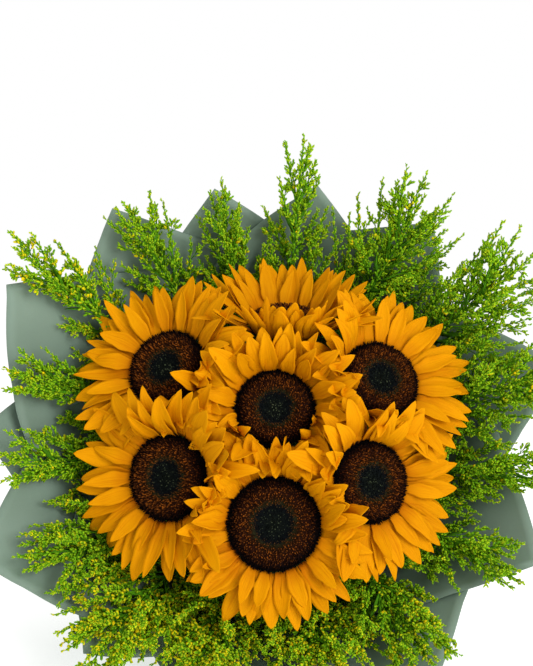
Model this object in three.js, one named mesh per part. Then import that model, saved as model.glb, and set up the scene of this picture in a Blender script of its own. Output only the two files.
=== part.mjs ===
// A florist's bunch of seven sunflowers with goldenrod round them, gathered into sage paper, tied, and
// laid on its side so that the flowers face forwards and a little up. Millimetres, +Z up. The bunch faces -Y
// and its cut stems point to +Y. It rests on the lower rim of the paper, which its weight presses flat, and
// on the cut stems.
//
// Everything is placed in the bunch's own frame: its origin is the middle of the tie, +Z runs up the stems
// to the flowers, +X is to the right and +Y is up across the face of the bunch.
import * as THREE from "three";

// ---- Driving dimensions --------------------------------------------------------------------------------
const LEAN = THREE.MathUtils.degToRad(20); // the axis of the bunch rises this much above the surface
const TIE_HEIGHT = 89; // the middle of the tie above the surface

const WRAP_WAIST = 24.5; // inner radius of the paper where it is tied
const WRAP_FLARE = 0.8; // how fast the paper opens towards the flowers
const TAIL_FLARE = 0.45; // and how fast the skirt below the tie opens
const TAIL_END = -105; // the skirt's cut edge, along the axis
const PAPER_THICK = 0.8;
const LAYER_PITCH = 3; // from one layer of paper to the next
const LOOSER_BELOW = 2.2; // the layers lie this many times further apart where they rest on the surface
const SHEET_HALF_ANGLE = 33; // degrees of the cone that a sheet covers on each side of its corner
const CORNER_ANGLE = 90; // every sheet is a square with one corner outwards

const STEM_RADIUS = 4.5;
const STEM_END = -150; // where the stems are cut, along the axis
const STEM_TWIST = THREE.MathUtils.degToRad(-55); // the spiral of the stems below the tie
const BUNDLE_RING = 10; // the six outer sunflower stems stand on this circle in the tie
const SPRIG_STEM = 1.6; // radius of a goldenrod stem
const SPRIG_RING = 18.3; // the goldenrod stems stand on this circle in the tie
const SPRIG_INSET = 12.5; // how far the plumes stand off the paper
const PLUME_SWELL = 6.3; // a plume is this much thicker than its stem
const PLUME_SPREAD = 2; // and this many times as wide as it is thick

const DISC_BACK = -4;
const CALYX_BACK = -27; // where the cup behind a disc meets its stem
const STEM_BEND = -62; // where the stem bends towards the cup, behind the disc
const PETAL_FOOT = -1.5; // where the petals join, below the face of the disc
const PETAL_THICK = 1.8; // of the collar at its root; it thins towards the tips
const PETAL_MOST = THREE.MathUtils.degToRad(86); // the steepest that a petal stands
const PETAL_STEP = THREE.MathUtils.degToRad(4);
const PETAL_EASE = THREE.MathUtils.degToRad(20); // from one column of a collar to the next
const PETAL_LEAST = 9; // a petal with no room at all still stands this tall
const COLLAR_POINTS = 13; // each point of a collar stands for a group of petals
const COLLAR_NOTCH = 0.78; // and the notches between them are this share of its reach
const PETAL_GAP = 0.8; // petals keep this far from the plane between two heads
const LOWER_LEANS = 0.3; // the slope with which a lower flower's petals lean over the flower above it
const GAP = 0.3; // between pieces that touch

// A head's place across the face, how far it stands beyond the tie, where it looks (turn to the right and
// nod upwards, in degrees from the axis), the radius of its disc, the length of its petals and how steeply
// they rise where nothing presses them (in degrees), and the place of its stem in the tie.
const HEADS = [
  { across: 0, up: 5, reach: 242, turn: 0, nod: 2, disc: 27, petal: 38, cup: 18, slot: null },
  { across: -1, up: -71, reach: 238, turn: 0, nod: -6, disc: 31, petal: 35, cup: 12, slot: 270 },
  { across: -71, up: -40, reach: 235, turn: -24, nod: -8, disc: 29, petal: 40, cup: 14, slot: 210 },
  { across: -74, up: 35, reach: 233, turn: -20, nod: 8, disc: 28, petal: 40, cup: 14, slot: 150 },
  { across: 8, up: 69, reach: 229, turn: 3, nod: 50, disc: 27, petal: 40, cup: 46, slot: 90 },
  { across: 72, up: 27, reach: 233, turn: 18, nod: 9, disc: 28, petal: 40, cup: 14, slot: 30 },
  { across: 63, up: -43, reach: 235, turn: 24, nod: -7, disc: 27.5, petal: 38, cup: 14, slot: 330 },
];

// Each goldenrod sprig: the way it lies round the axis in degrees, and how far its tip stands from the axis.
const SPRIGS = [
  [84, 205], [104, 180], [125, 193], [148, 214], [170, 192], [190, 190], [213, 189], [233, 200],
  [255, 190], [280, 182], [303, 192], [327, 192], [348, 194], [9, 196], [31, 203], [56, 196],
];

// Each sheet of paper: the way its corner points, how far the corner stands from the axis, and how much the
// sheet is turned about that corner, in degrees. Neighbours lie in different layers.
const SHEETS = [
  [52, 181, 6], [80, 178, 0], [104, 177, 3], [127, 189, 8], [154, 204, -8], [182, 190, 5],
  [206, 206, -4], [231, 190, 0], [263, 207, 4], [298, 196, -5], [331, 193, 4], [12, 188, 0],
];
const LAYERS = 3;

// ---- Small helpers -------------------------------------------------------------------------------------
const { degToRad, lerp } = THREE.MathUtils;
const AXIS = new THREE.Vector3(0, 0, 1);
const FLOOR_UP = new THREE.Vector3(0, Math.cos(LEAN), Math.sin(LEAN)); // the world's up, in the bunch's frame

function around(angle, radius, along) {
  return new THREE.Vector3(radius * Math.cos(angle), radius * Math.sin(angle), along);
}

// Lifts a point that is lower than level above the surface straight up to that level.
function lifted(point, level) {
  const height = point.dot(FLOOR_UP) + TIE_HEIGHT;
  return height < level ? point.addScaledVector(FLOOR_UP, level - height) : point;
}

// Moves every vertex of a geometry.
function reshaped(geometry, move) {
  const place = geometry.getAttribute("position");
  const v = new THREE.Vector3();
  for (let i = 0; i < place.count; i++) {
    const moved = move(v.fromBufferAttribute(place, i), i);
    place.setXYZ(i, moved.x, moved.y, moved.z);
  }
  geometry.computeVertexNormals();
  return geometry;
}

function finish(color, roughness) {
  return new THREE.MeshStandardMaterial({ color, roughness, metalness: 0 });
}

const MATERIALS = {
  disc: finish(0x24120c, 0.9),
  petals: finish(0xe09a04, 0.6),
  calyx: finish(0x4d7a1e, 0.7),
  stem: finish(0x6b8f3a, 0.65),
  goldenrod: finish(0x8fae1c, 0.75),
  paper: finish(0x8aa093, 0.8),
  twine: finish(0xa98b5b, 0.95),
  ribbon: finish(0xe8dfc8, 0.5),
};

function named(name, geometry, material) {
  const mesh = new THREE.Mesh(geometry, MATERIALS[material]);
  mesh.name = name;
  return mesh;
}

// A solid of revolution about +Z from [radius, height] pairs, which run from the top of the axis to its foot.
function turned(profile, sides) {
  const points = profile.map(([r, h]) => new THREE.Vector2(r, h)).reverse();
  return new THREE.LatheGeometry(points, sides).rotateX(Math.PI / 2);
}

// A tapering body along a curve. At each share of the curve's length, radiusAt gives its radius and widthAt
// how many times as wide as thick it is, sideways to the axis of the bunch.
function grownAlong(curve, radiusAt, steps, sides, widthAt = () => 1) {
  const profile = [[0, 1]];
  for (let i = steps; i >= 0; i--) profile.push([radiusAt(i / steps), i / steps]);
  profile.push([0, 0]);
  return reshaped(turned(profile, sides), (v) => {
    const t = THREE.MathUtils.clamp(v.z, 0, 1);
    const at = curve.getPointAt(t);
    const tangent = curve.getTangentAt(t);
    const outward = new THREE.Vector3(at.x, at.y, 0);
    if (outward.length() < 1) outward.set(1, 0, 0);
    const side = new THREE.Vector3().crossVectors(tangent, outward).normalize();
    const thick = new THREE.Vector3().crossVectors(side, tangent).normalize();
    return at.addScaledVector(side, v.y * widthAt(t)).addScaledVector(thick, v.x);
  });
}

// ---- The wrap's shape ----------------------------------------------------------------------------------
// The paper is narrowest at the tie and opens both ways as a hyperbola.
function wrapRadius(along) {
  const flare = along > 0 ? WRAP_FLARE : TAIL_FLARE;
  return Math.hypot(WRAP_WAIST, flare * along);
}

function wrapSlope(along) {
  const flare = along > 0 ? WRAP_FLARE : TAIL_FLARE;
  return (flare * flare * along) / wrapRadius(along);
}

// The point of the wrap at an angle and a distance along the axis, moved inwards along the paper's normal.
function onWrap(angle, along, inwards) {
  const slope = wrapSlope(along);
  const size = Math.hypot(1, slope);
  return around(angle, wrapRadius(along) - inwards / size, along + (inwards * slope) / size);
}

function alongAtRadius(radius) {
  return Math.sqrt(radius * radius - WRAP_WAIST * WRAP_WAIST) / WRAP_FLARE;
}

// ---- Sunflowers ----------------------------------------------------------------------------------------
function headFrame({ across, up, reach, turn, nod }) {
  const looks = new THREE.Vector3(
    Math.sin(degToRad(turn)) * Math.cos(degToRad(nod)),
    Math.sin(degToRad(nod)),
    Math.cos(degToRad(turn)) * Math.cos(degToRad(nod)),
  );
  const head = new THREE.Group();
  head.position.set(across, up, reach);
  head.quaternion.setFromUnitVectors(AXIS, looks);
  head.updateMatrix();
  return { head, looks };
}

// The plane that parts two heads. It leans over the upper one, because the lower flower's petals do.
function parting(from, to) {
  const way = new THREE.Vector3().subVectors(to, from);
  const middle = new THREE.Vector3().addVectors(from, to).multiplyScalar(0.5);
  const lean = (LOWER_LEANS * way.y) / way.length();
  const normal = way.normalize().addScaledVector(AXIS, -lean).normalize();
  return new THREE.Plane().setFromNormalAndCoplanarPoint(normal, middle);
}

// How far out a point of the bunch is beyond the head's own cell: positive is trespassing.
function trespass(point, planes) {
  return Math.max(...planes.map((plane) => plane.distanceToPoint(point) + PETAL_GAP));
}

function discSolid(radius) {
  const face = [[0, 3], [radius * 0.36, 3.6], [radius * 0.6, 5.6], [radius - 2.5, 3.5], [radius, 0]];
  return turned([...face, [radius - 2, DISC_BACK], [0, DISC_BACK]], 18);
}

function calyxSolid(radius) {
  const front = DISC_BACK - GAP;
  const bowl = [[0, front], [radius - 1, front], [radius + 2, front - 2.5], [radius * 0.75, -13]];
  return turned([...bowl, [8, -21], [STEM_RADIUS, CALYX_BACK], [0, CALYX_BACK]], 14);
}

// Splits the quads under a lathed sheet the same way as those above, so that its thickness outlasts a bend.
function splitAlike(lathe, rows) {
  const index = lathe.getIndex();
  for (let quad = 0; quad * 6 < index.count; quad++) {
    if (quad % rows >= rows / 2) continue;
    const [a, b, d, c] = [0, 1, 2, 3].map((k) => index.getX(quad * 6 + k));
    [a, b, c, a, c, d].forEach((vertex, k) => index.setX(quad * 6 + k, vertex));
  }
  return lathe;
}

// The ring of ray petals: a thin scalloped collar that rises as steeply as the neighbouring flowers make it.
function petalRing({ disc, petal, cup }, head, planes) {
  const inner = disc + 0.5;
  const root = inner + 3;
  const middle = root + petal * 0.55;
  const tip = root + petal;
  const half = PETAL_THICK / 2;
  const upper = [[inner, half], [root, half], [middle, half * 0.8], [tip, half * 0.4]];
  const lower = upper.map(([radius, height]) => [radius, -height]).reverse();
  const profile = [...upper, ...lower, upper[0]];
  const columns = Array.from({ length: COLLAR_POINTS * 2 }, (_, i) => i);
  const angleOf = (column) => ((column - columns.length / 4) * 2 * Math.PI) / columns.length;
  const bent = (column, out, rise, thick) => {
    const radius = root + out * Math.cos(rise) - thick * Math.sin(rise);
    return around(angleOf(column), radius, PETAL_FOOT + out * Math.sin(rise) + thick * Math.cos(rise));
  };
  const clear = (column, out, rise) => {
    const middleOfSheet = bent(column, out, rise, 0).applyMatrix4(head.matrix);
    return trespass(middleOfSheet, planes) <= 0;
  };

  const reaches = columns.map((column) => petal * (column % 2 ? COLLAR_NOTCH : 1));
  const steepest = columns.map((column) => {
    let rise = degToRad(cup);
    while (rise < PETAL_MOST && !clear(column, reaches[column], rise)) rise += PETAL_STEP;
    return rise;
  });
  const rises = columns.map((column) => {
    const apart = (other) => Math.min(Math.abs(column - other), columns.length - Math.abs(column - other));
    return Math.max(...steepest.map((rise, other) => rise - PETAL_EASE * apart(other)));
  });
  columns.forEach((column) => {
    while (reaches[column] > PETAL_LEAST && !clear(column, reaches[column], rises[column])) {
      reaches[column] -= 1;
    }
  });

  const collar = splitAlike(turned(profile, columns.length), profile.length - 1);
  return reshaped(collar, (v, i) => {
    const out = Math.hypot(v.x, v.y) - root;
    if (out <= 0.01) return v.setZ(v.z + PETAL_FOOT);
    const column = Math.floor(i / profile.length) % columns.length;
    return bent(column, (out / petal) * reaches[column], rises[column], v.z);
  });
}

function sunflowerStem({ slot, turn, nod }, head, looks, order) {
  const angle = slot === null ? 0 : degToRad(slot);
  const ring = slot === null ? 0 : BUNDLE_RING;
  const neck = head.position.clone().addScaledVector(looks, CALYX_BACK - GAP);
  const bend = head.position.clone().addScaledVector(looks, STEM_BEND);
  const away = Math.hypot(bend.x, bend.y);
  const swing = slot === null ? 0 : Math.atan2(bend.y, bend.x) - angle;
  const turnTo = Math.atan2(Math.sin(swing), Math.cos(swing));
  const end = STEM_END + (order % 3) * 5;
  const route = [];
  for (const share of [1, 0.55, 0.2]) {
    route.push(around(angle + STEM_TWIST * share, ring * (1 + 1.25 * share), end * share));
  }
  for (const share of [0.12, 0.35, 0.62]) {
    const opened = share ** 1.45;
    route.push(around(angle + turnTo * opened, lerp(ring, away, opened), bend.z * share));
  }
  route.push(bend, neck);
  const radiusAt = (t) => lerp(STEM_RADIUS + 0.2, STEM_RADIUS - 0.6, t);
  return grownAlong(new THREE.CatmullRomCurve3(route), radiusAt, 16, 7);
}

function sunflowers() {
  const frames = HEADS.map(headFrame);
  const all = new THREE.Group();
  HEADS.forEach((design, i) => {
    const { head, looks } = frames[i];
    const planes = frames
      .filter((other, j) => j !== i)
      .map((other) => {
        const lower = head.position.y < other.head.position.y;
        return lower
          ? parting(head.position, other.head.position)
          : parting(other.head.position, head.position).negate();
      });
    const name = `sunflower_${i + 1}`;
    head.add(named(`${name}_disc`, discSolid(design.disc), "disc"));
    head.add(named(`${name}_calyx`, calyxSolid(design.disc), "calyx"));
    head.add(named(`${name}_petals`, petalRing(design, head, planes), "petals"));
    all.add(head, named(`${name}_stem`, sunflowerStem(design, head, looks, i), "stem"));
  });
  return all;
}

// ---- Goldenrod -----------------------------------------------------------------------------------------
function sprigRoute([degrees, tip], order) {
  const angle = degToRad(degrees);
  const slot = degToRad((order + 0.5) * (360 / SPRIGS.length) + 70);
  const swing = Math.atan2(Math.sin(angle - slot), Math.cos(angle - slot));
  const tipAlong = alongAtRadius(tip);
  const end = STEM_END + 14 + (order % 4) * 6;
  const route = [];
  for (const share of [1, 0.5, 0.18]) {
    route.push(around(slot + STEM_TWIST * share, SPRIG_RING * (1 + 0.85 * share), end * share));
  }
  route.push(around(slot, SPRIG_RING, -9), around(slot, SPRIG_RING, 9));
  for (const share of [0.16, 0.32, 0.52, 0.72, 0.88]) {
    const inset = lerp(6, SPRIG_INSET, Math.min(1, share / 0.45));
    const point = onWrap(slot + swing * Math.min(1, share / 0.6), tipAlong * share, inset);
    route.push(lifted(point, 24));
  }
  route.push(lifted(onWrap(angle, tipAlong, 9), 19));
  return new THREE.CatmullRomCurve3(route);
}

// Bare stem, then the plume, which swells and comes to a point.
function plumeShare(t) {
  return THREE.MathUtils.smoothstep(t, 0.62, 0.78);
}

function sprigRadius(t) {
  const narrowing = Math.sqrt(Math.max(0, 1 - THREE.MathUtils.smoothstep(t, 0.8, 1)));
  return SPRIG_STEM + plumeShare(t) * PLUME_SWELL * narrowing;
}

function goldenrod() {
  const all = new THREE.Group();
  SPRIGS.forEach((design, i) => {
    const widthAt = (t) => lerp(1, PLUME_SPREAD, plumeShare(t));
    const body = grownAlong(sprigRoute(design, i), sprigRadius, 15, 6, widthAt);
    all.add(named(`goldenrod_${i + 1}`, body, "goldenrod"));
  });
  return all;
}

// ---- Paper ---------------------------------------------------------------------------------------------
const SKIRT_ROWS = [TAIL_END, -52, -14, 12]; // rows of the mesh, along the axis
const CONE_ROWS = [30, 64, 108, 150, 182, 208]; // and above the tie, below the rim
const LAST_ROW = 0.9; // no row is nearer to the rim than this share of the rim's own place
const COLUMNS = 6;
const WRAP_DEPTH = (LAYERS - 1) * LAYER_PITCH + PAPER_THICK;
const FLAT_SHARE = Math.sin(Math.atan(WRAP_FLARE)); // degrees on the flat sheet for each one round the cone

// The rim of a square sheet whose corner points outwards: its edges are straight when it is flat.
function rimRadius(offset, reach, turn) {
  const edge = degToRad(CORNER_ANGLE / 2 + Math.sign(offset) * turn);
  const swept = Math.abs(offset) * FLAT_SHARE;
  return (reach * Math.sin(edge)) / Math.sin(edge + swept);
}

function paperSheet([degrees, reach, turn], order) {
  const layer = (order + 1) % LAYERS;
  const places = [...SKIRT_ROWS, ...CONE_ROWS];
  const rows = places.length;
  const sheet = new THREE.BoxGeometry(2, rows, 1, COLUMNS, rows, 1);
  return reshaped(sheet, (v) => {
    const offset = v.x * degToRad(SHEET_HALF_ANGLE);
    const row = Math.round(v.y + rows / 2);
    const rim = alongAtRadius(rimRadius(offset, reach, turn));
    const along = row < rows ? Math.min(places[row], rim * LAST_ROW - (rows - row) * 2) : rim;
    const depth = layer * LAYER_PITCH + (v.z > 0 ? 0 : PAPER_THICK);
    const outwards = WRAP_DEPTH - depth; // the innermost layer is on the wrap's own shape
    return lifted(onWrap(degToRad(degrees) + offset, along, -outwards), depth * LOOSER_BELOW);
  });
}

function wrap() {
  const all = new THREE.Group();
  SHEETS.forEach((design, i) => all.add(named(`paper_sheet_${i + 1}`, paperSheet(design, i), "paper")));
  return all;
}

// ---- The ties ------------------------------------------------------------------------------------------
// A flat band closed round the axis: a ring with a rectangular section.
function ring(inner, outer, low, high, sides) {
  return turned([[inner, high], [outer, high], [outer, low], [inner, low], [inner, high]], sides);
}

const RIBBON_WIDTH = 24;
const BAND_THICK = 1;
const BAND_INNER = wrapRadius(RIBBON_WIDTH / 2) + WRAP_DEPTH + 1;
const TWINE_INNER = SPRIG_RING + SPRIG_STEM + 1.9;

function ties() {
  const all = new THREE.Group();
  const twine = ring(TWINE_INNER, TWINE_INNER + 1.4, -5, 5, 22);
  const band = ring(BAND_INNER, BAND_INNER + BAND_THICK, -RIBBON_WIDTH / 2, RIBBON_WIDTH / 2, 24);
  all.add(named("binding_twine", twine, "twine"), named("ribbon_band", band, "ribbon"));
  return all;
}

// ---- The whole bunch, laid down ------------------------------------------------------------------------
const bunch = new THREE.Group();
bunch.add(sunflowers(), goldenrod(), wrap(), ties());
bunch.rotation.x = Math.PI / 2 - LEAN;
bunch.position.z = TIE_HEIGHT;

// The origin is on the surface, under the middle of the bunch's box.
const laid = new THREE.Group();
laid.add(bunch);
laid.updateMatrixWorld(true);
const box = new THREE.Box3().setFromObject(laid, true);
laid.position.set(-(box.min.x + box.max.x) / 2, -(box.min.y + box.max.y) / 2, -box.min.z);

export default laid;
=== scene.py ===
"""The looks of a florist's bunch of sunflowers and goldenrod in sage paper, laid on its side.

Metres, +Z up. Pieces take their places from the solids of the part. The bunch's own frame has its
origin in the middle of the tie, +Z up the stems to the flowers, +X to the right and +Y up across the
face of the bunch.
"""
import math
import random

import bmesh
import bpy
from mathutils import Matrix, Vector, noise


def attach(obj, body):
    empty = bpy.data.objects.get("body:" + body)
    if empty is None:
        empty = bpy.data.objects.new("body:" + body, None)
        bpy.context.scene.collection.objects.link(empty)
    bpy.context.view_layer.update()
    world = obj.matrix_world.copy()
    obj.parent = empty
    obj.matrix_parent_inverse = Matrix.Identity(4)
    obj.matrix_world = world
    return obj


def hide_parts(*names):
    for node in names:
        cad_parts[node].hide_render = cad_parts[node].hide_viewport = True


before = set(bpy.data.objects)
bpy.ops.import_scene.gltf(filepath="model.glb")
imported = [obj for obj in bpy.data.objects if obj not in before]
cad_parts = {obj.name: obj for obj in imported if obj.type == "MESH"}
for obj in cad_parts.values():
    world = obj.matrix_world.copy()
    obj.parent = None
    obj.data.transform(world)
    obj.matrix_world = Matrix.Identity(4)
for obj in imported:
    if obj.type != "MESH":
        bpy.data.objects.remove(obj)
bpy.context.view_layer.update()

MM = 0.001
FULL_TURN = 2 * math.pi
GOLDEN_ANGLE = math.pi * (3 - math.sqrt(5))
RIGHT = Vector((0, 1, 0))  # across a petal that lies along +X

# ---- Design values of the bunch, the same as the part's ------------------------------------------
LEAN = math.radians(20)  # the axis of the bunch rises this much above the surface
WRAP_WAIST = 24.5 * MM
WRAP_FLARE = 0.8
TAIL_FLARE = 0.45
TAIL_END = -105 * MM
LAYERS = 3
LAYER_PITCH = 3 * MM
LOOSER_BELOW = 2.2  # under the bunch the layers stand apart by this share of their pitch
SHEET_HALF_ANGLE = math.radians(33)
SHEET_CORNER = 45  # half the angle of a sheet's corner, in degrees
PLUME_START = 0.56  # share of a sprig's length where its side spikes begin
DISC_DEPTH = 4 * MM  # from the back of a disc to the plane in which its petals root
COLLAR_ROOT = 3.5 * MM  # the solid collar of petals grows this far beyond the rim of the disc
FLOWERS = 7
SPRIGS = 16

# Each sheet of paper: the way its corner points, how far the corner stands from the axis in
# millimetres, and how much the sheet is turned about that corner, in degrees.
SHEETS = [
    (52, 181, 6), (80, 178, 0), (104, 177, 3), (127, 189, 8), (154, 204, -8), (182, 190, 5),
    (206, 206, -4), (231, 190, 0), (263, 207, 4), (298, 196, -5), (331, 193, 4), (12, 188, 0),
]


def mix(low, high, share):
    return low + (high - low) * share


def smooth(low, high, value):
    share = min(max((value - low) / (high - low), 0), 1)
    return share * share * (3 - 2 * share)


# ---- Places taken from the solids ----------------------------------------------------------------
def corners(node):
    """The corners of a CAD node, each once."""
    spots = {tuple(round(c, 6) for c in v.co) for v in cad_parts[node].data.vertices}
    return [Vector(spot) for spot in spots]


def middle(points):
    return sum(points, Vector()) / len(points)


def along_runs(points, gap):
    """Groups of points that lie together along Z, in order."""
    points = sorted(points, key=lambda p: p.z)
    runs = [[points[0]]]
    for point in points[1:]:
        if point.z - runs[-1][-1].z > gap:
            runs.append([])
        runs[-1].append(point)
    return runs


TIE = middle(corners("ribbon_band"))
BUNCH = Matrix.Translation(TIE) @ Matrix.Rotation(math.pi / 2 - LEAN, 4, "X")
TO_BUNCH = BUNCH.inverted()


def spine_of(node, gap):
    """The middle line of a stem, from its cut end to its tip, in the bunch's frame."""
    return [middle(run) for run in along_runs([TO_BUNCH @ p for p in corners(node)], gap)]


class Route:
    """A smooth line through points, read by its share of the length."""

    def __init__(self, points):
        self.points = points
        self.lengths = [0]
        for a, b in zip(points, points[1:]):
            self.lengths.append(self.lengths[-1] + (b - a).length)

    def at(self, share):
        wanted = min(max(share, 0), 1) * self.lengths[-1]
        last = len(self.points) - 1
        i = next((k for k in range(1, last + 1) if self.lengths[k] >= wanted), last)
        t = (wanted - self.lengths[i - 1]) / (self.lengths[i] - self.lengths[i - 1])
        p1, p2 = self.points[i - 1], self.points[i]
        p0 = self.points[i - 2] if i > 1 else p1 * 2 - p2
        p3 = self.points[i + 1] if i < last else p2 * 2 - p1
        squared = p0 * 2 - p1 * 5 + p2 * 4 - p3
        cubed = p1 * 3 - p0 - p2 * 3 + p3
        return 0.5 * (p1 * 2 + (p2 - p0) * t + squared * t**2 + cubed * t**3)

    def way(self, share, step=0.01):
        return (self.at(share + step) - self.at(share - step)).normalized()


# ---- The wrap's shape ----------------------------------------------------------------------------
def flare(along):
    return WRAP_FLARE if along > 0 else TAIL_FLARE


def wrap_radius(along):
    return math.hypot(WRAP_WAIST, flare(along) * along)


def on_wrap(angle, along, outwards):
    """A point on the wrap in the bunch's frame, or off it by a distance square to it."""
    slope = flare(along) ** 2 * along / wrap_radius(along)
    size = math.hypot(1, slope)
    radius = wrap_radius(along) + outwards / size
    return Vector((radius * math.cos(angle), radius * math.sin(angle), along - outwards * slope / size))


def along_at(radius):
    return math.sqrt(radius**2 - WRAP_WAIST**2) / WRAP_FLARE


# The folds, in millimetres: narrow pleats at the tie, and broad folds, finer folds and ripples up
# the paper.
PLEAT, BROAD_FOLD, FINE_FOLD, RIPPLE = 1.1, 4.5, 1.8, 3.0
FOLD_MIDDLE = 0.6  # the mean of a fold's outline, which keeps the folds on both sides of the plain shape


def fold_field(angle, along):
    """How far the paper stands off its plain shape: pleats at the tie that open into soft folds."""
    pleat = PLEAT * MM * math.sin(angle * 26 + 0.8 * math.sin(angle * 3))
    pleat *= 1 - smooth(0.02, 0.1, abs(along))
    spread = smooth(0.03, 0.24, along)
    broad = abs(math.sin(angle * 4.5 + 0.7 + 0.4 * math.sin(angle * 2))) - FOLD_MIDDLE
    fine = abs(math.sin(angle * 10 + 1.9 * math.sin(angle * 1.7))) - FOLD_MIDDLE
    ripple = noise.noise(Vector((math.cos(angle) * 3, math.sin(angle) * 3, along * 11)))
    return pleat + spread * MM * (BROAD_FOLD * broad + FINE_FOLD * fine + RIPPLE * ripple)


# ---- Finishes ------------------------------------------------------------------------------------
class Wire:
    """An output of a shader node. Sums on it add Math nodes."""

    def __init__(self, finish, socket):
        self.finish = finish
        self.socket = socket

    def __add__(self, other):
        return self.finish.math("ADD", self, other)

    __radd__ = __add__

    def __sub__(self, other):
        return self.finish.math("SUBTRACT", self, other)

    def __rsub__(self, other):
        return self.finish.math("SUBTRACT", other, self)

    def __mul__(self, other):
        return self.finish.math("MULTIPLY", self, other)

    __rmul__ = __mul__

    def __pow__(self, other):
        return self.finish.math("POWER", self, other)

    def clamped(self):
        return self.finish.math("ADD", self, 0, use_clamp=True)


def set_stops(ramp, stops):
    """Gives a colour ramp its stops, each a place and a colour."""
    while len(ramp.elements) < len(stops):
        ramp.elements.new(1)
    for element, (place, color) in zip(ramp.elements, stops):
        element.position = place
        element.color = (*color, 1)


class Finish:
    """A procedural material on a Principled BSDF."""

    def __init__(self, name, **constants):
        self.material = bpy.data.materials.new(name)
        self.material.use_nodes = True
        self.tree = self.material.node_tree
        self.surface = self.tree.nodes["Principled BSDF"]
        for socket, value in constants.items():
            self.surface.inputs[socket.replace("_", " ")].default_value = value

    def node(self, kind, settings=None, values=None, out=0):
        """Adds a node, makes its settings, fills or links its sockets, and gives one of its outputs."""
        made = self.tree.nodes.new(kind)
        for key, value in (settings or {}).items():
            if key == "stops":
                set_stops(made.color_ramp, value)
            else:
                setattr(made, key, value)
        for key, value in (values or {}).items():
            self.plug(made.inputs[key], value)
        return Wire(self, made.outputs[out])

    def plug(self, socket, value):
        if isinstance(value, Wire):
            self.tree.links.new(value.socket, socket)
        elif isinstance(value, tuple) and socket.type == "RGBA":
            socket.default_value = (*value, 1)
        else:
            socket.default_value = value

    def math(self, operation, *values, **settings):
        settings["operation"] = operation
        return self.node("ShaderNodeMath", settings, dict(enumerate(values)))

    def ramp(self, factor, stops):
        return self.node("ShaderNodeValToRGB", {"stops": stops}, {0: factor})

    def mixed(self, a, b, factor):
        settings = {"data_type": "RGBA", "blend_type": "MIX", "clamp_factor": True}
        return self.node("ShaderNodeMix", settings, {0: factor, 6: a, 7: b}, out=2)

    def attribute(self, name):
        return self.node("ShaderNodeAttribute", {"attribute_name": name}, out="Fac")

    def object_place(self):
        return self.node("ShaderNodeTexCoord", out="Object")

    def uv(self):
        """The shares of the way across and along a piece."""
        place = self.node("ShaderNodeTexCoord", out="UV")
        return [self.node("ShaderNodeSeparateXYZ", None, {0: place}, out) for out in ("X", "Y")]

    def vector(self, x, y, z):
        return self.node("ShaderNodeCombineXYZ", None, {0: x, 1: y, 2: z})

    def noise(self, place, scale, detail=3, rough=0.55):
        values = {"Vector": place, "Scale": scale, "Detail": detail, "Roughness": rough}
        return self.node("ShaderNodeTexNoise", None, values)

    def color(self, wire):
        self.plug(self.surface.inputs["Base Color"], wire)

    def rough(self, wire):
        self.plug(self.surface.inputs["Roughness"], wire)

    def bump(self, height, strength, distance):
        values = {"Strength": strength, "Distance": distance, "Height": height}
        self.plug(self.surface.inputs["Normal"], self.node("ShaderNodeBump", None, values))


# Colours from the root of a petal to its tip.
PETAL_COLORS = [
    (0, (0.34, 0.07, 0.0)), (0.12, (0.52, 0.16, 0.0)),
    (0.4, (0.63, 0.237, 0.0)), (1, (0.66, 0.262, 0.0)),
]
# Colours from the middle of a disc to its rim.
DISC_COLORS = [
    (0, (0.004, 0.006, 0.004)), (0.36, (0.002, 0.003, 0.004)), (0.42, (0.018, 0.017, 0.006)),
    (0.50, (0.016, 0.006, 0.002)), (0.64, (0.020, 0.005, 0.002)), (0.78, (0.010, 0.003, 0.002)),
    (0.88, (0.004, 0.002, 0.002)), (1, (0.003, 0.0015, 0.002)),
]
POLLEN_RING = 0.64  # the share of a disc's radius at which most florets are open
# Colours of goldenrod by hue: old leaf, stem, young bud, pale bud, bud about to open, open bud.
GOLDENROD_COLORS = [
    (0, (0.028, 0.11, 0.006)), (0.3, (0.085, 0.27, 0.006)), (0.5, (0.19, 0.42, 0.006)),
    (0.72, (0.42, 0.61, 0.012)), (0.88, (0.68, 0.61, 0.006)), (1, (0.82, 0.58, 0.002)),
]


def petal_finish():
    """Orange gold, deeper at the root, with streaks along the petal."""
    f = Finish("sunflower petal", Specular_IOR_Level=0.04)
    across, along = f.uv()
    tint = f.attribute("tint")
    streak = f.noise(f.vector(across * 9, along * 0.8, tint * 37), scale=1.6, detail=3)
    soft = f.noise(f.object_place(), scale=60, detail=2)
    warm = f.mixed(f.ramp(along, PETAL_COLORS), (0.45, 0.115, 0.0), ((streak - 0.47) * 2.6).clamped())
    f.color(f.mixed(warm, (0.73, 0.31, 0.0), (tint * 0.4 + (soft - 0.5) * 0.8).clamped()))
    f.rough(0.6 + streak * 0.2)
    f.bump(streak * 0.7 + soft * 0.3, strength=0.6, distance=0.6 * MM)
    return f.material


def disc_finish():
    """Dark florets in rings, with golden specks of pollen in one ring and pale specks in the middle."""
    f = Finish("sunflower disc florets", Specular_IOR_Level=0.05)
    ring = f.attribute("ring")
    speck = f.attribute("speck")
    height = f.attribute("height")
    wander = f.noise(f.object_place(), scale=120, detail=2)
    zone = f.ramp(ring + (wander - 0.5) * 0.10 + (speck - 0.5) * 0.09, DISC_COLORS)
    near = (1.1 - f.math("ABSOLUTE", ring - POLLEN_RING) * 3.7).clamped()
    gold = f.mixed(zone, (0.44, 0.12, 0.012), speck**1.7 * near * height)
    pale = speck**7 * (1 - ring * 2.2).clamped() * height
    f.color(f.mixed(gold, (0.20, 0.25, 0.13), pale * 0.8))
    f.rough(0.8 + wander * 0.15)
    return f.material


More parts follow.
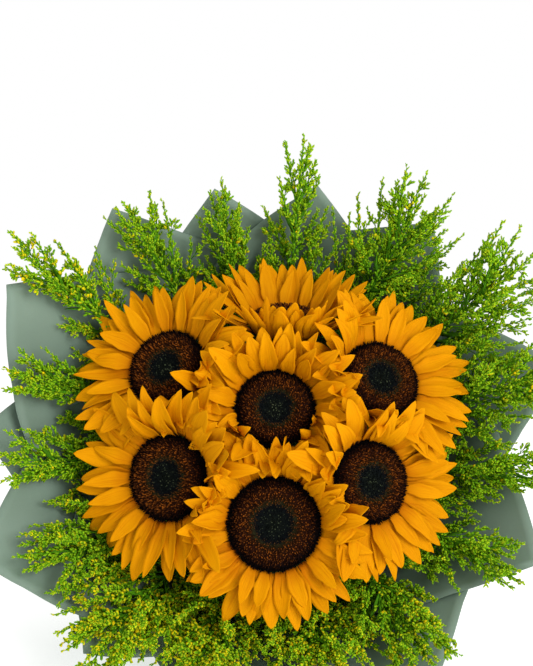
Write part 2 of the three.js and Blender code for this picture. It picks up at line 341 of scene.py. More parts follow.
def green_finish(name, deep, fresh, pale, scale):
    """Stems, bracts and cups: green with streaks and fine hairs."""
    f = Finish(name, Specular_IOR_Level=0.3)
    place = f.object_place()
    patch = f.noise(place, scale, detail=3)
    hair = f.noise(place, scale * 22, detail=2)
    skin = f.mixed(deep, fresh, ((patch - 0.35) * 2).clamped())
    f.color(f.mixed(skin, pale, ((hair - 0.55) * 1.4).clamped()))
    f.rough(0.55 + hair * 0.25)
    f.bump(hair, strength=0.4, distance=0.4 * MM)
    return f.material


def goldenrod_finish():
    f = Finish("goldenrod buds", Specular_IOR_Level=0.08)
    tint = f.attribute("tint")
    wander = f.noise(f.object_place(), scale=900, detail=2)
    body = f.ramp(f.attribute("hue"), GOLDENROD_COLORS)
    # Painted shade: a dark green laid over the buds, twigs and leaves, more where their tint is high and
    # where a fine noise is high, for the shade deep among the buds.
    f.color(f.mixed(body, (0.020, 0.070, 0.002), (tint * 0.45 + (wander - 0.6) * 0.9).clamped()))
    f.rough(0.6 + wander * 0.25)
    f.bump(wander, strength=0.4, distance=0.3 * MM)
    return f.material


def paper_finish():
    """Coated paper with soft clouds of tone, paler creases and a fine grain."""
    f = Finish("sage wrapping paper", Specular_IOR_Level=0.35)
    place = f.object_place()
    cloud = f.noise(place, scale=14, detail=3)
    grain = f.noise(place, scale=900, detail=2)
    crumple = f.noise(place, scale=55, detail=4, rough=0.6)
    body = f.mixed((0.165, 0.235, 0.180), (0.215, 0.300, 0.238), ((cloud - 0.3) * 1.8).clamped())
    worn = f.mixed(body, (0.28, 0.37, 0.30), ((crumple - 0.62) * 2.5).clamped() * 0.5)
    f.color(f.mixed(worn, (0.12, 0.17, 0.13), ((grain - 0.5) * 0.9).clamped() * 0.4))
    f.rough(0.52 + cloud * 0.2)
    f.bump(crumple * 0.7 + grain * 0.06, strength=0.35, distance=1.5 * MM)
    return f.material


def ribbon_finish():
    """Satin with fine ribs."""
    f = Finish("satin ribbon", Specular_IOR_Level=0.5, Sheen_Weight=0.2)
    along = f.uv()[1]
    cloud = f.noise(f.object_place(), scale=80, detail=2)
    f.color(f.mixed((0.72, 0.65, 0.50), (0.82, 0.77, 0.64), cloud))
    f.rough(0.32 + cloud * 0.15)
    f.bump(f.math("SINE", along * 2400), strength=0.25, distance=0.1 * MM)
    return f.material


def twine_finish():
    f = Finish("jute twine", Specular_IOR_Level=0.2)
    place = f.object_place()
    fibre = f.noise(place, scale=700, detail=3)
    cloud = f.noise(place, scale=90, detail=2)
    f.color(f.mixed((0.34, 0.22, 0.10), (0.55, 0.40, 0.22), fibre * 0.6 + cloud * 0.4))
    f.rough(0.85 + fibre * 0.1)
    f.bump(fibre, strength=0.8, distance=0.5 * MM)
    return f.material


# ---- Making and placing pieces -------------------------------------------------------------------
MERGE = 0.01 * MM  # corners nearer than this are one
LEAST_RADIUS = 0.05 * MM  # of a tube at its thinnest


def piece(name, bm, finish, node, soft=True):
    """Makes an object of a bmesh, with its finish, and lets it stand for a CAD node."""
    mesh = bpy.data.meshes.new(name)
    bm.to_mesh(mesh)
    bm.free()
    mesh.materials.append(finish)
    if soft:
        mesh.shade_smooth()
    else:
        mesh.shade_flat()
    made = bpy.data.objects.new(name, mesh)
    bpy.context.scene.collection.objects.link(made)
    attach(made, "root")
    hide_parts(node)
    return made


def thicken(made, thickness):
    """Gives the surface of an object its thickness."""
    walls = made.modifiers.new("thickness", "SOLIDIFY")
    walls.thickness = thickness
    walls.offset = 0


def scatter(template, copies, values):
    """One bmesh of many copies of a small shape, each a matrix with the values of its attributes."""
    bm = bmesh.new()
    source = bpy.data.meshes.new("copy")
    template.to_mesh(source)
    rest = [v.co.copy() for v in source.vertices]
    marks = {name: source.attributes.new(name, "FLOAT", "POINT") for name in values}
    for matrix, given in copies:
        for v, co in zip(source.vertices, rest):
            v.co = matrix @ co
        for name, mark in marks.items():
            value = given[name]
            for i, entry in enumerate(mark.data):
                entry.value = value(rest[i]) if callable(value) else value
        bm.from_mesh(source)
    bpy.data.meshes.remove(source)
    template.free()
    return bm


def joined(parts):
    """One bmesh of several."""
    bm = bmesh.new()
    for part in parts:
        mesh = bpy.data.meshes.new("part")
        part.to_mesh(mesh)
        part.free()
        bm.from_mesh(mesh)
        bpy.data.meshes.remove(mesh)
    return bm


def turned_to(way, spin=0.0):
    """A rotation that lays +Z along a way."""
    laid = Vector((0, 0, 1)).rotation_difference(way).to_matrix().to_4x4()
    return laid @ Matrix.Rotation(spin, 4, "Z")


def marked(bm, **values):
    """Writes attributes on the corners of a bmesh, each a number or a function of the corner."""
    for name, value in values.items():
        layer = bm.verts.layers.float.get(name) or bm.verts.layers.float.new(name)
        for v in bm.verts:
            v[layer] = value(v) if callable(value) else value
    return bm


def lathe(profile, steps):
    """A closed solid turned about Z, from (radius, height) pairs that start and end on the axis."""
    bm = bmesh.new()
    line = [bm.verts.new((r, 0, h)) for r, h in profile]
    edges = [bm.edges.new(pair) for pair in zip(line, line[1:])]
    bmesh.ops.spin(
        bm, geom=line + edges, cent=(0, 0, 0), axis=(0, 0, 1),
        angle=FULL_TURN, steps=steps, use_merge=True,
    )
    bmesh.ops.remove_doubles(bm, verts=bm.verts, dist=MERGE)
    bmesh.ops.recalc_face_normals(bm, faces=bm.faces)
    return bm


def rod(route, radius_at, steps, sides):
    """A tube along a route, closed at both ends."""
    bm = bmesh.new()
    rings = []
    for i in range(steps + 1):
        share = i / steps
        radius = max(radius_at(share), LEAST_RADIUS)
        ring = bmesh.ops.create_circle(bm, segments=sides, radius=radius, cap_ends=False)["verts"]
        place = Matrix.Translation(route.at(share)) @ turned_to(route.way(share))
        bmesh.ops.transform(bm, matrix=place, verts=ring)
        rings.append(ring)

    def edges_of(*chosen):
        return [e for e in bm.edges if any(e.verts[0] in ring and e.verts[1] in ring for ring in chosen)]

    for low, high in zip(rings, rings[1:]):
        bmesh.ops.bridge_loops(bm, edges=edges_of(low, high))
    for end in (rings[0], rings[-1]):
        bmesh.ops.contextual_create(bm, geom=edges_of(end))
    bmesh.ops.recalc_face_normals(bm, faces=bm.faces)
    return bm


def flat_grid(columns, rows, uv_of):
    """A square grid from -1 to 1 with UVs worked out from its corners' places."""
    bm = bmesh.new()
    uv = bm.loops.layers.uv.new("UVMap")
    bmesh.ops.create_grid(bm, x_segments=columns, y_segments=rows, size=1)
    for face in bm.faces:
        for loop in face.loops:
            loop[uv].uv = uv_of(loop.vert.co)
    return bm


# ---- Sunflowers ----------------------------------------------------------------------------------
BESIDE_GAP = 32 * MM  # a flower whose rim is nearer than this presses the petals
LEAST_GAP = 8 * MM
PRESSED_MARGIN = 12 * MM  # petals are pressed this far past the sides of the neighbour's disc
UPRIGHT_LOOK = 0.5  # a flower that looks up more than this has petals that stand round it


class Head:
    """The place, the look and the size of a flower, read from its solids."""

    def __init__(self, number):
        self.name = f"sunflower_{number}"
        disc = corners(f"{self.name}_disc")
        cup = middle(corners(f"{self.name}_calyx"))
        look = (middle(disc) - cup).normalized()
        back = min((p - cup).dot(look) for p in disc)
        self.center = cup + look * (back + DISC_DEPTH)
        up = Vector((0, -math.sin(LEAN), math.cos(LEAN)))
        side = up.cross(look).normalized()
        axes = Matrix((side, look.cross(side), look)).transposed()
        self.place = Matrix.Translation(self.center) @ axes.to_4x4()
        inside = self.place.inverted()
        self.radius = max((inside @ p).xy.length for p in disc)
        root = self.radius + COLLAR_ROOT
        collar = []
        for p in (inside @ p for p in corners(f"{self.name}_petals")):
            out = p.xy.length - root
            collar.append((math.hypot(out, p.z), math.atan2(p.z, out)))
        self.upright = (TO_BUNCH.to_3x3() @ look).y > UPRIGHT_LOOK
        self.petal = max(collar)[0]
        self.open = min(rise for reach, rise in collar if reach > 0.9 * self.petal)

    def look_round(self, heads):
        """Notes the flowers beside this one: which way, how far from rim to rim, how wide they press
        and whether they lie under it."""
        inside = self.place.inverted()
        self.beside = []
        for other in heads:
            seen = inside @ other.center
            away = seen.xy.length
            gap = away - self.radius - other.radius
            if other is not self and gap < BESIDE_GAP:
                half = math.asin(min((other.radius + PRESSED_MARGIN) / away, 1))
                under = self.center.z < other.center.z
                self.beside.append((math.atan2(seen.y, seen.x), max(gap, LEAST_GAP), half, under))

    def pressed(self, angle):
        """How hard a neighbour presses the petals at an angle, its gap and whether it lies under."""
        found = (0, 0, True)
        for way, gap, half, under in self.beside:
            apart = abs(math.remainder(angle - way, FULL_TURN))
            found = max(found, (1 - smooth(0.5 * half, 1.1 * half, apart), gap, under))
        return found


HEADS = [Head(number) for number in range(1, FLOWERS + 1)]
for head in HEADS:
    head.look_round(HEADS)

# The face of a disc, in millimetres: how far its middle stands out, how much more it does further
# out, and how far it falls at the rim.
DISC_MIDDLE, DISC_SWELL, DISC_FALL = 3.1, 2.3, 5.2
DISC_RINGS = 14
FLORETS = 1900  # on a disc of the usual radius
USUAL_RADIUS = 30 * MM
RIM_FLORETS = 150
BUD_SHARE = 0.43  # the florets inside this share of the radius are still buds


def disc_height(share):
    """How far the face of a disc stands out at a share of its radius, in millimetres."""
    dish = DISC_MIDDLE + DISC_SWELL * smooth(0.2, 0.62, share)
    return dish - DISC_FALL * smooth(0.72, 1.02, share) ** 1.5


def floret_height(co):
    """Marks the tip of a floret, which is the part that carries pollen."""
    return 1.0 if co.z > 0 else 0.1


def disc_bmesh(head, dice):
    """A dished disc packed with florets in a spiral, and a ragged ring of them at its rim."""
    radius = head.radius
    shares = [i / DISC_RINGS for i in range(DISC_RINGS + 1)]
    profile = [(s * radius * 0.97, disc_height(s) * MM) for s in shares]
    base = lathe(profile + [(radius * 0.94, -DISC_DEPTH), (0, -DISC_DEPTH)], 40)
    marked(base, ring=lambda v: v.co.xy.length / radius, speck=0.1, height=0.0)
    bmesh.ops.transform(base, matrix=head.place, verts=base.verts)
    floret = bmesh.new()
    bmesh.ops.create_cone(
        floret, cap_ends=True, segments=4, radius1=0.72 * MM, radius2=0.25 * MM, depth=2 * MM
    )
    copies = []

    def plant(share, angle, tall, wide, tilt):
        r = share * (radius - 0.4 * MM)
        h = (disc_height(share) + 0.5 * tall) * MM
        place = Vector((r * math.cos(angle), r * math.sin(angle), h))
        turn = Matrix.Rotation(angle, 4, "Z") @ Matrix.Rotation(tilt, 4, "Y")
        matrix = head.place @ Matrix.Translation(place) @ turn @ Matrix.Diagonal((wide, wide, tall, 1))
        copies.append((matrix, {"ring": share, "speck": dice.random(), "height": floret_height}))

    count = int(FLORETS * (radius / USUAL_RADIUS) ** 2)
    for k in range(count):
        share = min(math.sqrt((k + 0.5) / count) + dice.gauss(0, 0.012), 1.01)
        angle = k * GOLDEN_ANGLE + dice.gauss(0, 0.02) / max(share, 0.1)
        bud = share < BUD_SHARE
        tall = dice.uniform(0.5, 0.9) if bud else dice.uniform(0.8, 1.7)
        wide = dice.uniform(0.75, 1.0) if bud else dice.uniform(0.65, 1.05)
        plant(share, angle, tall, wide, mix(-0.15, 0.6, share**3) + dice.gauss(0, 0.2))
    for k in range(RIM_FLORETS):
        share = dice.uniform(0.93, 1.01)
        tall = dice.uniform(1.0, 2.1)
        wide = dice.uniform(0.9, 1.4)
        plant(share, k * FULL_TURN / RIM_FLORETS, tall, wide, dice.uniform(0.4, 1.0))
    return joined([base, scatter(floret, copies, ("ring", "speck", "height"))])


PETAL_STEPS = 52  # pieces of a petal's middle line
PETAL_THICK = 0.35 * MM
RIDGE = 0.4 * MM  # height of the ridges along a petal


def petal_bmesh(length, width, rise, bend, fold, twist, sway, tint, blunt):
    """One petal that grows from the origin along +X and rises towards +Z.

    A blunt one keeps its width longer.
    """
    bm = flat_grid(13, 6, lambda co: (co.y * 0.5 + 0.5, co.x * 0.5 + 0.5))

    def lift_at(along):
        return rise + bend * (along - 0.25) * (0.4 + along)

    spine = [Vector((0, 0, 0))]
    for i in range(PETAL_STEPS):
        lift = lift_at((i + 0.5) / PETAL_STEPS)
        spine.append(spine[-1] + Vector((math.cos(lift), 0, math.sin(lift))) * length / PETAL_STEPS)
    for v in bm.verts:
        along = (v.co.x * 0.5 + 0.5) ** 0.85
        across = v.co.y
        lift = lift_at(along)
        up = Vector((-math.sin(lift), 0, math.cos(lift)))
        half = width / 2 * mix(0.5, 1, smooth(0, 0.45, along)) * max(1 - along**blunt, 0) ** 0.85
        half *= 1 + 0.05 * math.sin(along * 17 + tint * 20 + across)
        ridge = RIDGE * math.cos(across * math.pi * 2.5) * math.sin(math.pi * min(along * 1.1, 1))
        cup = fold * half * (across * across - 0.3) + ridge
        turn = twist * along
        side = RIGHT * math.cos(turn) + up * math.sin(turn)
        face_up = up * math.cos(turn) - RIGHT * math.sin(turn)
        spot = spine[round(along * PETAL_STEPS)]
        v.co = spot + side * across * half + face_up * cup + RIGHT * sway * along * along
    bmesh.ops.remove_doubles(bm, verts=bm.verts, dist=2 * MERGE)
    bmesh.ops.recalc_face_normals(bm, faces=bm.faces)
    return marked(bm, tint=tint)


# Rows of petals from the back to the front: how many, where they root beyond the rim in
# millimetres, their share of the full length, how much more they rise, and their width in
# millimetres.
PETAL_ROWS = [(24, 1.9, 1.06, -0.08, 14.5), (24, 1.0, 0.97, 0.05, 14), (15, 0.2, 0.80, 0.22, 12)]
PRESSED = 0.35  # petals pressed harder than this crumple or shrink back
CRUMPLED = 0.42  # share of the pressed petals that crumple


def petals_bmesh(head, dice):
    """Three rows of petals. Where another flower presses them they lean over it, stand up or crumple."""
    parts = []
    for row, (count, root, size, lifted, wide) in enumerate(PETAL_ROWS):
        foot = Matrix.Translation(Vector((head.radius + (root - 1.2) * MM, 0, (0.6 * row - 1.6) * MM)))
        for k in range(count):
            angle = (k + row * 0.5 + dice.uniform(-0.22, 0.22)) * FULL_TURN / count
            crowd, gap, under = head.pressed(angle)
            length = head.petal * size * dice.uniform(0.92, 1.08)
            rise = head.open + lifted + dice.gauss(0, 0.07)
            bend = dice.gauss(-0.15, 0.35)
            twist = dice.gauss(0, 0.2)
            fold = dice.uniform(0.05, 0.4)
            width = wide * MM
            if under:  # lean over the rim of the flower that lies under this one
                over = math.acos(min((gap + 5 * MM) / length, 0.92)) + dice.gauss(0.12, 0.1) + lifted
                rise = mix(rise, over, crowd)
                bend = mix(bend, dice.gauss(-0.7, 0.3), crowd)
            elif head.upright:  # stand up in front of the disc and spread at its sides
                facing = head.place.to_3x3() @ Vector((math.cos(angle), math.sin(angle), 0))
                sideways = smooth(0.72, 0.95, abs(facing.x))
                rise = mix(rise, mix(dice.gauss(1.3, 0.1), 0.4, sideways), crowd)
                length *= mix(1, 0.8, crowd * (1 - sideways))
                width *= 0.88
                bend = dice.gauss(-0.1, 0.25)
            elif crowd > PRESSED and dice.random() < CRUMPLED:
                rise = mix(rise, dice.uniform(0.85, 1.65), crowd)
                length *= dice.uniform(0.6, 0.85)
                bend = dice.gauss(-0.6, 1.1)
                twist = dice.gauss(0, 0.9)
                fold = dice.uniform(-0.5, 0.9)
                width *= 0.85
            elif crowd > PRESSED:  # shrink back to the gap
                rise = mix(rise, dice.uniform(0.3, 1.0), crowd)
                length = mix(length, min(length, gap * 1.35), crowd)
                bend = mix(bend, -0.6, crowd)
            width *= dice.uniform(0.82, 1.08)
            sway = dice.gauss(0, 3.0) * MM
            tint = dice.random()
            blunt = dice.uniform(2.2, 4.4)
            bm = petal_bmesh(length, width, rise, bend, fold, twist, sway, tint, blunt)
            place = head.place @ Matrix.Rotation(angle, 4, "Z") @ foot
            bmesh.ops.transform(bm, matrix=place, verts=bm.verts)
            parts.append(bm)
    return joined(parts)


BRACTS = 13  # in each of the two rings
# Where the two rings of bracts root: how far inside the rim and how far behind the face, in millimetres.
BRACT_ROOTS = [(6, 9), (3, 7)]


def cup_bmesh(head, dice):
    """The green cup behind a disc, which narrows to the stem, and its bracts."""
    rim = head.radius / MM
    profile = [
        (0, -4.2), (rim - 2.5, -4.2), (rim - 0.5, -6), (rim * 0.84, -9.5), (rim * 0.55, -14.5),
        (9, -20), (5, -26), (0, -27),
    ]
    cup = lathe([(r * MM, h * MM) for r, h in profile], 28)
    bmesh.ops.transform(cup, matrix=head.place, verts=cup.verts)
    parts = [cup]
    for inset, behind in BRACT_ROOTS:
        foot = Matrix.Translation(Vector((head.radius - inset * MM, 0, -behind * MM)))
        for k in range(BRACTS):
            angle = (k + dice.uniform(-0.3, 0.3)) * FULL_TURN / BRACTS
            length = dice.uniform(13, 19) * MM
            rise = dice.uniform(-0.45, -0.1)
            bm = petal_bmesh(
                length, 8 * MM, rise, bend=-0.2, fold=0.4, twist=0, sway=0, tint=dice.random(), blunt=2
            )
            place = head.place @ Matrix.Rotation(angle, 4, "Z") @ foot
            bmesh.ops.transform(bm, matrix=place, verts=bm.verts)
            bmesh.ops.solidify(bm, geom=bm.faces[:], thickness=0.4 * MM)
            parts.append(bm)
    return joined(parts)


def stalk_bmesh(head, number):
    """A stem that thins a little towards the cup and swells in waves."""
    spine = [BUNCH @ p for p in spine_of(f"{head.name}_stem", gap=6 * MM)]

    def radius_at(share):
        return mix(4.6, 3.9, share) * MM * (1 + 0.05 * math.sin(share * 60 + number))

    return rod(Route(spine), radius_at, steps=90, sides=12)


def sunflower(number, head, finishes):
    dice = random.Random(700 + number)
    name = head.name
    florets = disc_bmesh(head, dice)
    piece(f"{name}_florets", florets, finishes["disc"], f"{name}_disc", soft=False)
    petals = petals_bmesh(head, dice)
    rays = piece(f"{name}_rays", petals, finishes["petals"], f"{name}_petals")
    thicken(rays, PETAL_THICK)
    piece(f"{name}_bracts", cup_bmesh(head, dice), finishes["calyx"], f"{name}_calyx")
    piece(f"{name}_stalk", stalk_bmesh(head, number), finishes["stem"], f"{name}_stem")


# ---- Goldenrod -----------------------------------------------------------------------------------
FEW_SPIKES, MANY_SPIKES = 28, 46
# How many side spikes the fuller sprigs have, and the share of open buds on the sprigs that bloom.
SPIKES = {7: 36, 8: 46, 9: 46, 10: 46, 11: 38, 14: 38, 15: 46, 16: 46}
BLOSSOM = {4: 0.25, 7: 0.15, 8: 0.45, 9: 0.55, 10: 0.4, 11: 0.2}
BLOSSOM_ELSE = 0.03
SPIKELET = 6.4 * MM
BUD_PLACES = (0.42, 0.66, 0.9)  # along a spikelet
TWIG_HUE = 0.3
TWIG_RADIUS = 0.07  # of a spikelet one unit long
FOLD_ROOM = 1.3  # sprigs stay off the folds that go inwards by this share of their depth
PAPER_ROOM = 4.5 * MM
FLOOR_ROOM = 15.5 * MM


def spikelet_template():
    """A short twig along +Z, one unit long, with three buds that lean away from it."""
    bm = bmesh.new()
    twig = bmesh.ops.create_cone(bm, segments=3, radius1=0.06, radius2=0.03, depth=1)
    bmesh.ops.translate(bm, vec=(0, 0, 0.5), verts=twig["verts"])
    for k, along in enumerate(BUD_PLACES):
        bud = bmesh.ops.create_uvsphere(bm, u_segments=4, v_segments=3, radius=0.5)
        shape = Matrix.Diagonal((0.33, 0.33, 0.66, 1))
        lean = Matrix.Rotation(k * GOLDEN_ANGLE, 4, "Z") @ Matrix.Rotation(0.38, 4, "Y")
        place = Matrix.Translation((0, 0, along)) @ lean @ Matrix.Translation((0, 0, 0.34)) @ shape
        bmesh.ops.transform(bm, matrix=place, verts=bud["verts"])
    return bm


def blade_template():
    """A narrow leaf along +Z that bows a little."""
    bm = bmesh.new()
    bmesh.ops.create_grid(bm, x_segments=1, y_segments=5, size=1)
    for v in bm.verts:
        along = v.co.y * 0.5 + 0.5
        half = 1.5 * MM * math.sin(math.pi * mix(0.1, 0.96, along)) ** 0.8
        v.co = Vector((v.co.x * half, 3 * MM * along**2, along * 18 * MM))
    bmesh.ops.solidify(bm, geom=bm.faces[:], thickness=0.2 * MM)
    return bm


def spikelet_hue(hue):
    """Gives a spikelet's twig its own green and its buds the hue asked for."""
    return lambda co: TWIG_HUE if co.xy.length < TWIG_RADIUS else hue


def wrap_room(point):
    """How far from the axis the folds of the paper stand, at a point in the bunch's frame."""
    along = max(point.z, 0)
    return wrap_radius(along) + FOLD_ROOM * min(fold_field(math.atan2(point.y, point.x), along), 0)


def beyond_paper(point):
    seen = TO_BUNCH @ point
    return seen.xy.length > wrap_room(seen) - 1 * MM


def kept_inside(point):
    """A point of a sprig in the bunch's frame, held inside the paper and above the surface."""
    limit = wrap_room(point) - PAPER_ROOM
    radius = point.xy.length
    if radius > limit:
        point = Vector((point.x * limit / radius, point.y * limit / radius, point.z))
    world = BUNCH @ point
    world.z = max(world.z, FLOOR_ROOM)
    return world


def among_flowers(point):
    """Whether a point stands in front of a flower's disc or the inner part of its petals."""
    for head in HEADS:
        seen = head.place.inverted() @ point
        if seen.z > -5 * MM and seen.xy.length < head.radius + 0.8 * head.petal:
            return True
    return False


class Sprig:
    """A sprig of goldenrod: a stem with slender side spikes, all of them set with spikelets."""

    def __init__(self, number, spikes, blossom):
        self.number = number
        self.spikes = spikes
        self.blossom = blossom
        self.dice = random.Random(300 + number)
        self.spine = spine_of(f"goldenrod_{number}", gap=4 * MM)
        self.route = Route(self.spine)
        self.wide = mix(0.94, 1.18, smooth(FEW_SPIKES, MANY_SPIKES, spikes))
        self.spikelets, self.leaves, self.twigs = [], [], []

    def set_spikelets(self, twig, count, long, first):
        """Sets spikelets round a twig in the part's frame, shorter and closer towards its tip."""
        dice = self.dice
        for i in range(count):
            share = mix(first, 1, ((i + dice.random()) / count) ** 0.9)
            ahead = twig.way(share)
            spin = i * GOLDEN_ANGLE + dice.gauss(0, 0.3)
            out = turned_to(ahead) @ Vector((math.cos(spin), math.sin(spin), 0))
            aim = (out * mix(0.7, 0.3, share) * dice.uniform(0.6, 1.1) + ahead).normalized()
            size = mix(long, 0.5 * long, share**1.6) * dice.uniform(0.8, 1.2)
            opened = dice.random() < self.blossom * (1.2 - share * 0.6)
            hue = dice.uniform(0.84, 1) if opened else dice.uniform(0.44, 0.70) + 0.12 * share
            thick = size * (1.3 if opened else 1.0)
            foot = twig.at(share)
            tip = foot + aim * size
            if among_flowers(tip) or beyond_paper(tip):
                continue
            turn = turned_to(aim, dice.uniform(0, 6))
            matrix = Matrix.Translation(foot) @ turn @ Matrix.Diagonal((thick, thick, size, 1))
            # The tint, mostly low, sets how much painted shade the goldenrod finish lays on this
            # spikelet.
            self.spikelets.append((matrix, {"hue": spikelet_hue(hue), "tint": dice.random() ** 2}))

    def branchlet(self, twig, share, size):
        """A short side twig, with spikelets of its own."""
        ahead = twig.way(share)
        spin = self.dice.uniform(0, FULL_TURN)
        out = turned_to(ahead) @ Vector((math.cos(spin), math.sin(spin), 0))
        aim = (out * 0.6 + ahead).normalized()
        line = Route([kept_inside(TO_BUNCH @ (twig.at(share) + aim * size * i / 3)) for i in range(4)])
        if not among_flowers(line.at(1)):
            self.twigs.append(rod(line, lambda t: 0.3 * MM, steps=2, sides=3))
            self.set_spikelets(line, count=6, long=6 * MM, first=0.2)

    def side_spike(self, k):
        """The side spike of one number with its branchlets, and the leaf at its root."""
        dice = self.dice
        share = mix(PLUME_START, 0.93, (k + 0.5) / self.spikes)
        start = self.route.at(share)
        ahead = self.route.way(share)
        outward = Vector((start.x, start.y, 0)).normalized()
        side = ahead.cross(outward).normalized()
        spin = k * GOLDEN_ANGLE + dice.gauss(0, 0.3)
        depth = math.sin(spin)
        out = (side * math.cos(spin) + outward * depth * (0.6 if depth > 0 else 0.35)).normalized()
        way = (out * mix(0.85, 0.5, smooth(0.6, 1, share)) * self.wide + ahead).normalized()
        swell = smooth(PLUME_START - 0.12, 0.68, share) * mix(1, 0.42, smooth(0.72, 1, share))
        size = swell * self.wide * dice.uniform(38, 64) * MM
        bow = (ahead * 0.5 + out * dice.uniform(-0.25, 0.15)) * size
        twig = Route([kept_inside(start + way * size * i / 7 + bow * (i / 7) ** 2) for i in range(8)])
        if among_flowers(twig.at(1)) or among_flowers(twig.at(0.5)):
            return
        self.twigs.append(rod(twig, lambda t: mix(0.75, 0.35, t) * MM, steps=7, sides=4))
        self.set_spikelets(twig, int(mix(8, 28, size / (52 * MM))), SPIKELET, first=0.10)
        branchlets = 3 if self.spikes > FEW_SPIKES else 2
        for fork in range(branchlets):
            at = mix(0.2, 0.72, (fork + dice.random()) / branchlets)
            self.branchlet(twig, at, size * dice.uniform(0.2, 0.34))
        turn = turned_to((BUNCH.to_3x3() @ way).normalized(), dice.uniform(0, 6))
        leaf = Matrix.Translation(kept_inside(start)) @ turn @ Matrix.Scale(dice.uniform(0.7, 1.3), 4)
        # The leaf's tint sets how much painted shade the goldenrod finish lays on it.
        self.leaves.append((leaf, {"hue": dice.uniform(0.05, 0.3), "tint": dice.random()}))

    def make(self, finish):
        for k in range(self.spikes):
            self.side_spike(k)
        tip = Route([kept_inside(self.route.at(mix(0.78, 1, i / 9))) for i in range(10)])
        self.set_spikelets(tip, count=60, long=6.2 * MM, first=0.0)
        middle_line = Route([BUNCH @ p for p in self.spine])
        stem = rod(middle_line, lambda t: mix(1.6, 0.5, smooth(0.4, 1, t)) * MM, steps=60, sides=8)
        # The stem and twigs have a tint of 0.2, which gives them a little of the finish's painted shade.
        parts = [
            marked(stem, hue=0.22, tint=0.2),
            marked(joined(self.twigs), hue=TWIG_HUE, tint=0.2),
            scatter(blade_template(), self.leaves, ("hue", "tint")),
            scatter(spikelet_template(), self.spikelets, ("hue", "tint")),
        ]
        node = f"goldenrod_{self.number}"
        piece(f"goldenrod_sprig_{self.number}", joined(parts), finish, node)


# ---- Paper ---------------------------------------------------------------------------------------
PAPER_THICK = 0.35 * MM
PAPER_GAP = 0.4 * MM
SHEET_RIPPLE = 1.2 * MM  # each sheet's own ripples, besides the folds that all of them share
CURL = (2, 9)  # how far the corner of a sheet curls outwards, in millimetres


def paper_sheet(number, finish):
    degrees, reach, turn = SHEETS[number - 1]
    depth = number % LAYERS * LAYER_PITCH
    dice = random.Random(40 + number)
    curl = dice.uniform(*CURL) * MM
    seed = dice.uniform(0, 50)
    bm = flat_grid(32, 46, lambda co: (co.x * 0.5 + 0.5, co.y * 0.5 + 0.5))
    for v in bm.verts:
        offset = v.co.x * SHEET_HALF_ANGLE
        edge = math.radians(SHEET_CORNER + math.copysign(turn, offset) if offset else SHEET_CORNER)
        swept = abs(offset) * math.sin(math.atan(WRAP_FLARE))
        rim = along_at(reach * MM * math.sin(edge) / math.sin(edge + swept))
        share = v.co.y * 0.5 + 0.5
        along = mix(TAIL_END, rim, share)
        angle = math.radians(degrees) + offset
        own = noise.noise(Vector((offset * 4, along * 14, seed))) * SHEET_RIPPLE * smooth(0, 0.15, along)
        out = (LAYERS - 1) * LAYER_PITCH - depth + PAPER_GAP + fold_field(angle, along) + own
        if along > 0:
            out += curl * smooth(0.82, 1.0, share) ** 2 * (1 - abs(v.co.x))
        world = BUNCH @ on_wrap(angle, along, out)
        world.z = max(world.z, depth * LOOSER_BELOW + 0.3 * MM)
        v.co = world
    bmesh.ops.reverse_faces(bm, faces=bm.faces)
    thicken(piece(f"wrap_sheet_{number}", bm, finish, f"paper_sheet_{number}"), PAPER_THICK)


# ---- The ties ------------------------------------------------------------------------------------
TWINE_RADIUS = 0.75 * MM
TWINE_RING = 22.4 * MM  # from the axis to the middle of the twine
TWINE_TURNS = 5
TWINE_HALF_HEIGHT = 4.3 * MM
TWINE_STEPS = 24  # points in one turn
RIBBON_HALF_WIDTH = 11.6 * MM
RIBBON_THICK = 0.4 * MM
RIBBON_RING = 34.6  # from the axis to the middle of the ribbon, in millimetres
RIBBON_TUCK = 0.55  # how much nearer the axis its tucked end is than the middle, in millimetres


def twine(finish):
    points = []
    last = TWINE_TURNS * TWINE_STEPS
    for i in range(last + 1):
        angle = i * FULL_TURN / TWINE_STEPS
        height = mix(-TWINE_HALF_HEIGHT, TWINE_HALF_HEIGHT, i / last)
        spot = Vector((TWINE_RING * math.cos(angle), TWINE_RING * math.sin(angle), height))
        points.append(BUNCH @ spot)
    bm = rod(Route(points), lambda t: TWINE_RADIUS, steps=150, sides=6)
    piece("stem_twine", bm, finish, "binding_twine")


def ribbon(finish):
    """A ribbon wound round the waist, with soft folds across it and its free end tucked under."""
    bm = flat_grid(110, 10, lambda co: (co.x * 4, co.y * 0.01))
    for v in bm.verts:
        x, y = v.co.x, v.co.y
        angle = x * math.pi * 1.06 + 1.2
        wave = 0.25 * math.sin(y * 5 + 2 * math.sin(angle * 2)) + 0.2 * math.sin(angle * 9 + y * 2)
        radius = (RIBBON_RING + RIBBON_TUCK * x + wave + 0.5 * abs(y) ** 2) * MM
        height = y * RIBBON_HALF_WIDTH
        v.co = BUNCH @ Vector((radius * math.cos(angle), radius * math.sin(angle), height))
    thicken(piece("waist_ribbon", bm, finish, "ribbon_band"), RIBBON_THICK)


# ---- Surroundings --------------------------------------------------------------------------------
WHITE = (1, 1, 1, 1)
FLOOR_HALF_WIDTH = 40
SKY_STRENGTH = 0.62
# Each lamp: its name, its place, the place it aims at, its size and its power.
LAMPS = [
    ("key light", (0.95, -1.45, 0.75), (0, -0.1, 0.18), 0.9, 22),
    ("top light", (0.1, -0.2, 1.6), (0, -0.1, 0.15), 1.0, 4),
]
CAMERA_PLACE = Vector((-5.8, -912.3, 186.8)) * MM  # from the tie
CAMERA_PITCH = math.radians(90 - 4)
LENS, SENSOR_WIDTH = 55.64, 36


def linked(name, data):
    made = bpy.data.objects.new(name, data)
    bpy.context.scene.collection.objects.link(made)
    return made


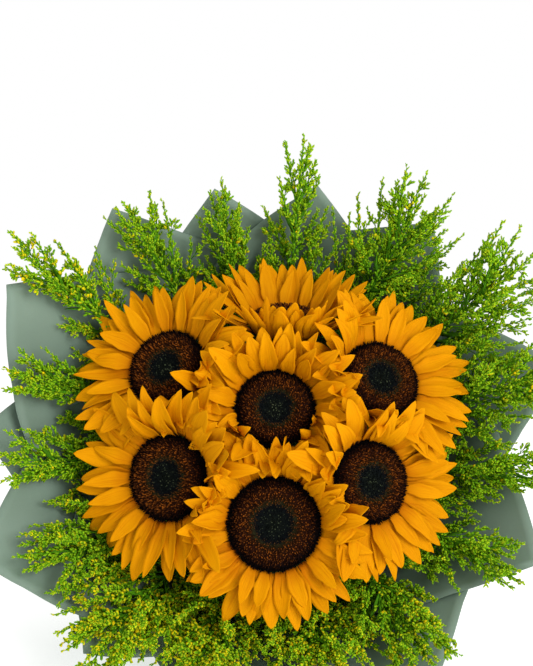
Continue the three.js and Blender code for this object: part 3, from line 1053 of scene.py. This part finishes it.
def pale_floor():
    ground = Finish(
        "pale floor", Roughness=0.9, Specular_IOR_Level=0.1, Emission_Strength=0.5, Emission_Color=WHITE
    )
    shade = ground.noise(ground.object_place(), scale=3, detail=2)
    ground.color(ground.mixed((0.86, 0.86, 0.85), (0.90, 0.90, 0.89), shade))
    bm = bmesh.new()
    bmesh.ops.create_grid(bm, x_segments=1, y_segments=1, size=FLOOR_HALF_WIDTH)
    mesh = bpy.data.meshes.new("floor")
    bm.to_mesh(mesh)
    bm.free()
    mesh.materials.append(ground.material)
    floor = linked("floor", mesh)


def soft_room():
    """A white world, a little dimmer in the light it gives than in the view."""
    world = bpy.data.worlds.new("soft room")
    bpy.context.scene.world = world
    world.use_nodes = True
    nodes, links = world.node_tree.nodes, world.node_tree.links
    sky = nodes["Background"]
    sky.inputs["Color"].default_value = WHITE
    sky.inputs["Strength"].default_value = SKY_STRENGTH
    seen = nodes.new("ShaderNodeBackground")
    seen.inputs["Color"].default_value = WHITE
    rays = nodes.new("ShaderNodeLightPath")
    both = nodes.new("ShaderNodeMixShader")
    links.new(rays.outputs["Is Camera Ray"], both.inputs[0])
    links.new(sky.outputs[0], both.inputs[1])
    links.new(seen.outputs[0], both.inputs[2])
    links.new(both.outputs[0], nodes["World Output"].inputs["Surface"])


def lamps():
    for name, place, aim, size, power in LAMPS:
        light = bpy.data.lights.new(name, "AREA")
        light.size = size
        light.energy = power
        holder = linked(name, light)
        holder.location = place
        holder.rotation_euler = (Vector(aim) - Vector(place)).to_track_quat("-Z", "Y").to_euler()


def camera():
    lens = bpy.data.cameras.new("camera")
    lens.lens = LENS
    lens.sensor_width = SENSOR_WIDTH
    lens.clip_start = 0.05
    holder = linked("camera", lens)
    holder.location = TIE + CAMERA_PLACE
    holder.rotation_euler = (CAMERA_PITCH, 0, 0)
    bpy.context.scene.camera = holder


# ---- The whole bunch -----------------------------------------------------------------------------
camera()
pale_floor()
soft_room()
lamps()
finishes = {
    "disc": disc_finish(),
    "petals": petal_finish(),
    "calyx": green_finish(
        "sunflower bracts", (0.05, 0.11, 0.02), (0.12, 0.22, 0.035), (0.30, 0.38, 0.16), scale=60
    ),
    "stem": green_finish(
        "sunflower stem", (0.12, 0.22, 0.05), (0.24, 0.36, 0.10), (0.45, 0.52, 0.28), scale=45
    ),
}
for number, head in enumerate(HEADS, 1):
    sunflower(number, head, finishes)
buds = goldenrod_finish()
for number in range(1, SPRIGS + 1):
    Sprig(number, SPIKES.get(number, FEW_SPIKES), BLOSSOM.get(number, BLOSSOM_ELSE)).make(buds)
paper = paper_finish()
for number in range(1, len(SHEETS) + 1):
    paper_sheet(number, paper)
twine(twine_finish())
ribbon(ribbon_finish())

bpy.context.scene.view_settings.view_transform = "Standard"
